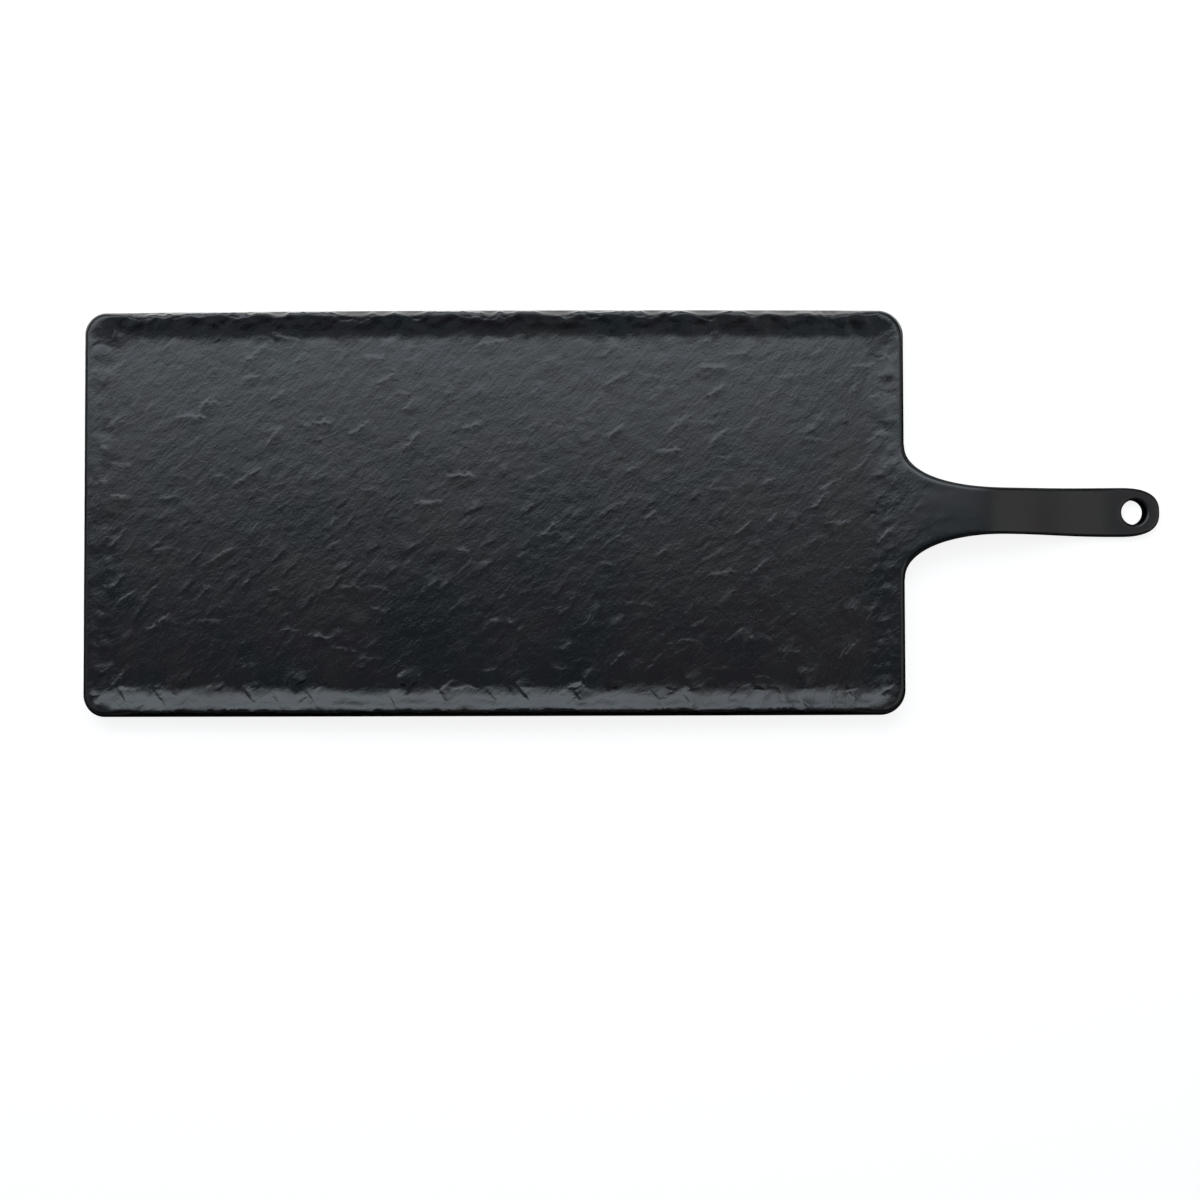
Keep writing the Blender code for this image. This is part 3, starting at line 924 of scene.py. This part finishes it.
def add_node(material, kind, settings, links):
    """Add a node with its settings, which are sockets or properties, and its links."""
    node = material.node_tree.nodes.new(kind)
    for name, value in settings.items():
        if isinstance(name, int) or name in node.inputs:
            node.inputs[name].default_value = value
        else:
            setattr(node, name, value)
    for name, source in links.items():
        material.node_tree.links.new(source, node.inputs[name])
    return node


# Moulded melamine has a satin black finish, here with a fine slanting grain, faint warm and cool
# patches, and small terraces where the slate has split; the handle and the wall below the rim stay
# smooth. The heights of grain and terraces are in millimetres.
GRAIN_LENGTH = 0.0030
GRAIN_WIDTH = 0.0015
GRAIN_HEIGHT = 0.085
SMOOTH_GRAIN_HEIGHT = 0.010
SPLIT_LENGTH = 0.0080
SPLIT_WIDTH = 0.0050
SPLIT_LEVELS = 9
SPLIT_HEIGHT = 0.025
MILLIMETRE = 0.001
PATCH_SIZE = 0.034
melamine = bpy.data.materials.new("moulded_melamine")
melamine.use_nodes = True
shader = melamine.node_tree.nodes["Principled BSDF"]
place = add_node(melamine, "ShaderNodeTexCoord", {}, {})
turned = {"vector_type": "TEXTURE", "Rotation": (0, 0, math.radians(GRAIN_TURN))}
along_grain = add_node(
    melamine, "ShaderNodeMapping",
    {**turned, "Scale": (GRAIN_LENGTH, GRAIN_WIDTH, GRAIN_WIDTH)},
    {"Vector": place.outputs["Object"]},
)
fine_grain = add_node(
    melamine, "ShaderNodeTexNoise",
    {"Scale": 1, "Detail": 2, "Roughness": 0.55, "Distortion": 0.4},
    {"Vector": along_grain.outputs["Vector"]},
)
along_split = add_node(
    melamine, "ShaderNodeMapping",
    {**turned, "Scale": (SPLIT_LENGTH, SPLIT_WIDTH, SPLIT_WIDTH)},
    {"Vector": place.outputs["Object"]},
)
split = add_node(
    melamine, "ShaderNodeTexNoise",
    {"Scale": 1, "Detail": 3, "Roughness": 0.6, "Distortion": 0.3},
    {"Vector": along_split.outputs["Vector"]},
)
levels = add_node(
    melamine, "ShaderNodeMath", {"operation": "MULTIPLY", 1: SPLIT_LEVELS},
    {0: split.outputs["Fac"]},
)
whole = add_node(
    melamine, "ShaderNodeMath", {"operation": "FLOOR"}, {0: levels.outputs["Value"]}
)
part = add_node(
    melamine, "ShaderNodeMath", {"operation": "FRACT"}, {0: levels.outputs["Value"]}
)
riser = add_node(
    melamine, "ShaderNodeMapRange",
    {"interpolation_type": "SMOOTHSTEP", "From Min": 0.0, "From Max": 0.7},
    {"Value": part.outputs["Value"]},
)
terrace = add_node(
    melamine, "ShaderNodeMath", {"operation": "ADD"},
    {0: whole.outputs["Value"], 1: riser.outputs["Result"]},
)
split_height = add_node(
    melamine, "ShaderNodeMath", {"operation": "MULTIPLY", 1: SPLIT_HEIGHT},
    {0: terrace.outputs["Value"]},
)
slate_height = add_node(
    melamine, "ShaderNodeMath", {"operation": "MULTIPLY_ADD", 1: GRAIN_HEIGHT},
    {0: fine_grain.outputs["Fac"], 2: split_height.outputs["Value"]},
)
on_slate = add_node(melamine, "ShaderNodeAttribute", {"attribute_name": "slate"}, {})
masked = add_node(
    melamine, "ShaderNodeMath", {"operation": "MULTIPLY"},
    {0: slate_height.outputs["Value"], 1: on_slate.outputs["Fac"]},
)
skin_height = add_node(
    melamine, "ShaderNodeMath", {"operation": "MULTIPLY_ADD", 1: SMOOTH_GRAIN_HEIGHT},
    {0: fine_grain.outputs["Fac"], 2: masked.outputs["Value"]},
)
bump = add_node(
    melamine, "ShaderNodeBump", {"Distance": MILLIMETRE}, {"Height": skin_height.outputs["Value"]}
)
patches = add_node(
    melamine, "ShaderNodeTexNoise", {"Scale": 1 / PATCH_SIZE, "Detail": 2, "Roughness": 0.5},
    {"Vector": place.outputs["Object"]},
)
tone = add_node(melamine, "ShaderNodeValToRGB", {}, {"Fac": patches.outputs["Fac"]})
tone.color_ramp.elements[0].position = 0.36
tone.color_ramp.elements[0].color = srgb("#030A0D")
tone.color_ramp.elements[1].position = 0.64
tone.color_ramp.elements[1].color = srgb("#0C0809")
tone.color_ramp.elements.new(0.54).color = srgb("#0D060D")
gloss = add_node(
    melamine, "ShaderNodeMapRange",
    {"From Min": 0.3, "From Max": 0.7, "To Min": 0.26, "To Max": 0.31},
    {"Value": patches.outputs["Fac"]},
)
for name, source in (
    ("Base Color", tone.outputs["Color"]),
    ("Roughness", gloss.outputs["Result"]),
    ("Normal", bump.outputs["Normal"]),
):
    melamine.node_tree.links.new(source, shader.inputs[name])
melamine_tray.data.materials.append(melamine)
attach(melamine_tray, "root")
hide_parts("tray_moulding")

# Rubber feet
# Four round push-in feet, each moulded in one shot in soft black rubber: a pad that widens upwards,
# with a rounded lower edge and a dished sole, and a short stem pressed into its boss. The rubber is
# dull, with a fine grit and a faint grey bloom.
PAD_RADIUS = 0.0075
PAD_TAPER = 0.001
PAD_ROUND = 0.0008
PAD_LIP = 0.0004
DISH_RADIUS = 0.0044
DISH_EASE = 0.0010
DISH_DEPTH = 0.0006
STEM_CHAMFER = 0.0005
ROUND_STEPS = 5
FOOT_SHARP_TURN = 40
GRIT_SIZE = 0.0006
GRIT_HEIGHT = 0.00008
BLOOM_SIZE = 0.005
rubber = bpy.data.materials.new("moulded_rubber")
rubber.use_nodes = True
shader = rubber.node_tree.nodes["Principled BSDF"]
place = add_node(rubber, "ShaderNodeTexCoord", {}, {})
grit = add_node(
    rubber, "ShaderNodeTexNoise", {"Scale": 1 / GRIT_SIZE, "Detail": 3, "Roughness": 0.6},
    {"Vector": place.outputs["Object"]},
)
bloom = add_node(
    rubber, "ShaderNodeTexNoise", {"Scale": 1 / BLOOM_SIZE, "Detail": 2},
    {"Vector": place.outputs["Object"]},
)
tone = add_node(rubber, "ShaderNodeValToRGB", {}, {"Fac": bloom.outputs["Fac"]})
tone.color_ramp.elements[0].position = 0.3
tone.color_ramp.elements[0].color = srgb("#131314")
tone.color_ramp.elements[1].position = 0.7
tone.color_ramp.elements[1].color = srgb("#1E1E1F")
dull = add_node(
    rubber, "ShaderNodeMapRange", {"To Min": 0.58, "To Max": 0.76}, {"Value": grit.outputs["Fac"]}
)
bump = add_node(
    rubber, "ShaderNodeBump", {"Distance": GRIT_HEIGHT}, {"Height": grit.outputs["Fac"]}
)
for name, source in (
    ("Base Color", tone.outputs["Color"]),
    ("Roughness", dull.outputs["Result"]),
    ("Normal", bump.outputs["Normal"]),
):
    rubber.node_tree.links.new(source, shader.inputs[name])
profile = [(0, DISH_DEPTH), (DISH_RADIUS - DISH_EASE, DISH_DEPTH)]
for step in range(1, ROUND_STEPS + 1):
    share = step / ROUND_STEPS
    profile.append((DISH_RADIUS - DISH_EASE * (1 - share), DISH_DEPTH * (1 - ease(share))))
low_radius = PAD_RADIUS - PAD_TAPER
quarter = [math.pi / 2 * step / ROUND_STEPS for step in range(ROUND_STEPS + 1)]
for angle in quarter:
    radius = low_radius - PAD_ROUND * (1 - math.sin(angle))
    profile.append((radius, PAD_ROUND * (1 - math.cos(angle))))
for angle in quarter:
    radius = PAD_RADIUS - PAD_LIP * (1 - math.cos(angle))
    profile.append((radius, FOOT_HEIGHT - PAD_LIP * (1 - math.sin(angle))))
stem_top = BOSS_FACE + STEM_LENGTH
profile += [
    (STEM_RADIUS, FOOT_HEIGHT),
    (STEM_RADIUS, stem_top - STEM_CHAMFER),
    (STEM_RADIUS - STEM_CHAMFER, stem_top),
    (0, stem_top),
]
for corner, (x, y) in zip(("front_left", "front_right", "back_left", "back_right"), foot_places):
    foot = bmesh.new()
    points = [foot.verts.new((radius, 0, height)) for radius, height in profile]
    outline = [foot.edges.new(pair) for pair in zip(points, points[1:])]
    bmesh.ops.spin(
        foot, geom=points + outline, axis=(0, 0, 1), cent=(0, 0, 0), angle=2 * math.pi,
        steps=ROUND_SIDES, use_merge=True,
    )
    bmesh.ops.remove_doubles(foot, verts=foot.verts, dist=SAME_POINT)
    bmesh.ops.translate(foot, verts=foot.verts, vec=(MIDDLE_X + x, y, 0))
    bmesh.ops.recalc_face_normals(foot, faces=foot.faces)
    rubber_foot = finished(foot, "rubber_foot_" + corner)
    rubber_foot.data.shade_smooth()
    rubber_foot.data.set_sharp_from_angle(angle=math.radians(FOOT_SHARP_TURN))
    rubber_foot.data.materials.append(rubber)
    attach(rubber_foot, "root")
    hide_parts("foot_" + corner)

# Floor, light and camera
# The tray stands on white paper in a plain studio, lit by three long softboxes behind it and three
# weaker panels at the sides and in front; the camera looks down on it from a metre up. The camera
# sees the paper white. Reflections see no lamplight on the paper: in front of the tray's far edge
# it is painted black, a painted shadow that keeps the near edge black, and behind that edge it
# glows at twice white, a painted reflection that brightens the far rim.
CAMERA_PLACE = (-0.0077, -0.0765, 1.0193)
CAMERA_TURN = (1.914, 0.225, -0.160)
PHOTO_FOCAL = 2056
PHOTO_SIZE = 1200
PAPER_HALF = 6
PAPER_GREY = 0.30
SHADE_RADIUS = 1.2
# Where the painted glow that reflections see begins behind the tray's far edge, and its strength
PAINTED_GLOW_START = 0.0935
PAINTED_GLOW_END = 0.1035
PAINTED_GLOW_STRENGTH = 2.0
HORIZON_FRONT = 0.34
HORIZON_BACK = 0.50
ZENITH = 0.03
ROOM_TINT = (0.92, 1, 1.06, 1)
SOFTBOX_X = -0.22
SOFTBOX_WIDTH = 1.14
COOL = (0.90, 1.0, 1.08)
paper_sheet = bmesh.new()
bmesh.ops.create_grid(paper_sheet, x_segments=1, y_segments=1, size=PAPER_HALF)
floor = finished(paper_sheet, "floor")
paper = bpy.data.materials.new("white_paper")
paper.use_nodes = True
paper.node_tree.nodes.remove(paper.node_tree.nodes["Principled BSDF"])
ray = add_node(paper, "ShaderNodeLightPath", {}, {})
mirrored = add_node(
    paper, "ShaderNodeMath", {"operation": "MAXIMUM"},
    {0: ray.outputs["Is Glossy Ray"], 1: ray.outputs["Is Transmission Ray"]},
)
spot = add_node(paper, "ShaderNodeTexCoord", {}, {})
spread = add_node(
    paper, "ShaderNodeMapping", {"vector_type": "TEXTURE", "Scale": [SHADE_RADIUS] * 3},
    {"Vector": spot.outputs["Object"]},
)
near_tray = add_node(
    paper, "ShaderNodeTexGradient", {"gradient_type": "SPHERICAL"},
    {"Vector": spread.outputs["Vector"]},
)
white = add_node(
    paper, "ShaderNodeMapRange", {"From Max": 0.5, "To Min": 1.0, "To Max": 0.84},
    {"Value": near_tray.outputs["Fac"]},
)
sides = add_node(paper, "ShaderNodeSeparateXYZ", {}, {"Vector": spot.outputs["Object"]})
# Painted reflection and painted shadow: reflections see the paper glow behind the tray's far edge
# and black in front of it
painted_glow_behind = add_node(
    paper, "ShaderNodeMapRange",
    {"From Min": PAINTED_GLOW_START, "From Max": PAINTED_GLOW_END, "To Max": PAINTED_GLOW_STRENGTH},
    {"Value": sides.outputs["Y"]},
)
mirrored_painted_glow = add_node(
    paper, "ShaderNodeMath", {"operation": "MULTIPLY"},
    {0: mirrored.outputs["Value"], 1: painted_glow_behind.outputs["Result"]},
)
glow = add_node(
    paper, "ShaderNodeMath", {"operation": "MULTIPLY_ADD"},
    {0: ray.outputs["Is Camera Ray"], 1: white.outputs["Result"], 2: mirrored_painted_glow.outputs["Value"]},
)
emit = add_node(paper, "ShaderNodeEmission", {}, {"Strength": glow.outputs["Value"]})
# Reflections get no diffuse light from the paper, so in front of the glow it is painted black, a
# painted shadow
grey = add_node(
    paper, "ShaderNodeMapRange", {"To Min": PAPER_GREY, "To Max": 0.0},
    {"Value": mirrored.outputs["Value"]},
)
matte = add_node(paper, "ShaderNodeBsdfDiffuse", {}, {"Color": grey.outputs["Result"]})
both = add_node(
    paper, "ShaderNodeAddShader", {}, {0: emit.outputs["Emission"], 1: matte.outputs["BSDF"]}
)
surface = paper.node_tree.nodes["Material Output"].inputs["Surface"]
paper.node_tree.links.new(both.outputs["Shader"], surface)
floor.data.materials.append(paper)

world = bpy.data.worlds.new("studio")
bpy.context.scene.world = world
world.use_nodes = True
background = world.node_tree.nodes["Background"]
ray = add_node(world, "ShaderNodeLightPath", {}, {})
way = add_node(world, "ShaderNodeTexCoord", {}, {})
direction = add_node(world, "ShaderNodeSeparateXYZ", {}, {"Vector": way.outputs["Generated"]})
horizon = add_node(
    world, "ShaderNodeMapRange",
    {"From Min": -0.6, "From Max": 0.6, "To Min": HORIZON_FRONT, "To Max": HORIZON_BACK},
    {"Value": direction.outputs["Y"]},
)
walls = add_node(
    world, "ShaderNodeMapRange", {"From Max": 0.5, "To Max": ZENITH},
    {"Value": direction.outputs["Z"], "To Min": horizon.outputs["Result"]},
)
air = add_node(
    world, "ShaderNodeMath", {"operation": "MAXIMUM"},
    {0: ray.outputs["Is Camera Ray"], 1: walls.outputs["Result"]},
)
world.node_tree.links.new(air.outputs["Value"], background.inputs["Strength"])
tint = add_node(
    world, "ShaderNodeMix", {"data_type": "RGBA", 6: ROOM_TINT, 7: (1, 1, 1, 1)},
    {0: ray.outputs["Is Camera Ray"]},
)
world.node_tree.links.new(tint.outputs[2], background.inputs["Color"])

camera_data = bpy.data.cameras.new("camera")
camera_data.lens = camera_data.sensor_width * PHOTO_FOCAL / PHOTO_SIZE
camera = placed("camera", camera_data)
camera.location = CAMERA_PLACE
camera.rotation_euler = [math.radians(turn) for turn in CAMERA_TURN]
bpy.context.scene.camera = camera
for name, place, aim, width, height, radiance, colour in (
    ("back_softbox", (SOFTBOX_X, 0.3645, 0.6073), (SOFTBOX_X, -0.104, 0.0993),
     SOFTBOX_WIDTH, 0.343, 3.15, COOL),
    ("low_softbox", (SOFTBOX_X, 0.596, 0.394), (SOFTBOX_X, 0.126, -0.116),
     SOFTBOX_WIDTH, 0.287, 0.7, COOL),
    ("top_softbox", (SOFTBOX_X, 0.165, 0.74), (SOFTBOX_X, 0, 0), SOFTBOX_WIDTH, 0.18, 1.50, COOL),
    ("left_fill", (-0.95, -0.05, 0.75), (-0.03, 0, 0), 1.0, 0.6, 0.45, (1, 1, 1)),
    ("right_fill", (0.80, -0.05, 0.80), (-0.03, 0, 0), 1.0, 0.8, 0.85, (1, 0.96, 0.92)),
    ("front_fill", (-0.03, -0.62, 2.0), (-0.03, 0, 0), 3.0, 0.35, 0.60, (0.80, 1, 1.16)),
):
    panel = bpy.data.lights.new(name, "AREA")
    panel.shape = "RECTANGLE"
    panel.size, panel.size_y = width, height
    panel.energy = radiance * math.pi * width * height
    panel.color = colour
    lamp = placed(name, panel)
    lamp.location = place
    lamp.rotation_euler = (Vector(aim) - lamp.location).to_track_quat("-Z", "Y").to_euler()
bpy.context.scene.view_settings.view_transform = "Standard"
